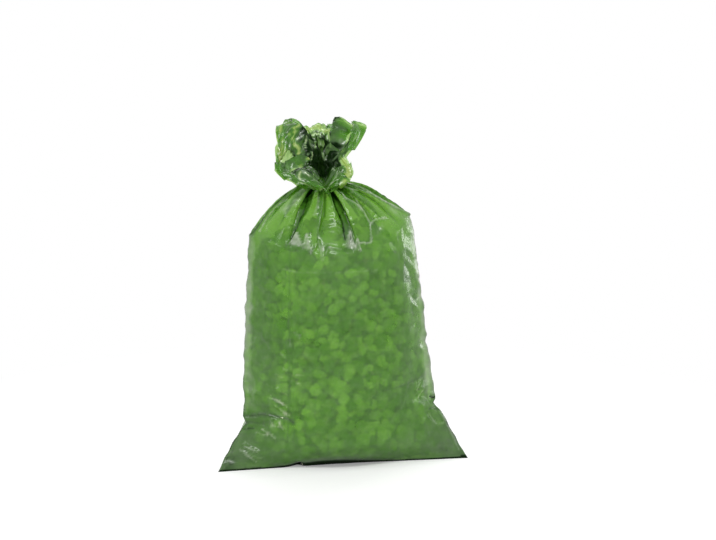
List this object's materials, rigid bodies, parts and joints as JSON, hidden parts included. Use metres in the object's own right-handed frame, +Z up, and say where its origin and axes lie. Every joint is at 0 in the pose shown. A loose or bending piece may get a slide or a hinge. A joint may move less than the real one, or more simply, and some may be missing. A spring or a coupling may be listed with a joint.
{
  "type": "filled bin bag",
  "caption": "Tall translucent green refuse sack, filled with loose chips and tied at the neck, with a ruffled collar above the tie and pointed ears at its welded foot.",
  "frame": {"origin": "on the floor, in the middle of the sack's flat foot", "axes": "+Z up; +X to the right along the bottom weld, seen from the front; -Y towards the front"},
  "size_m": [0.676, 0.3824, 0.919],
  "materials": {
    "film": "glossy, thin and see-through",
    "chips": "matt foam",
    "tie": "satin"
  },
  "bodies": {
    "root": {"bag_film": "film", "chip_fill": "chips", "neck_tie": "tie"}
  },
  "joints": []
}
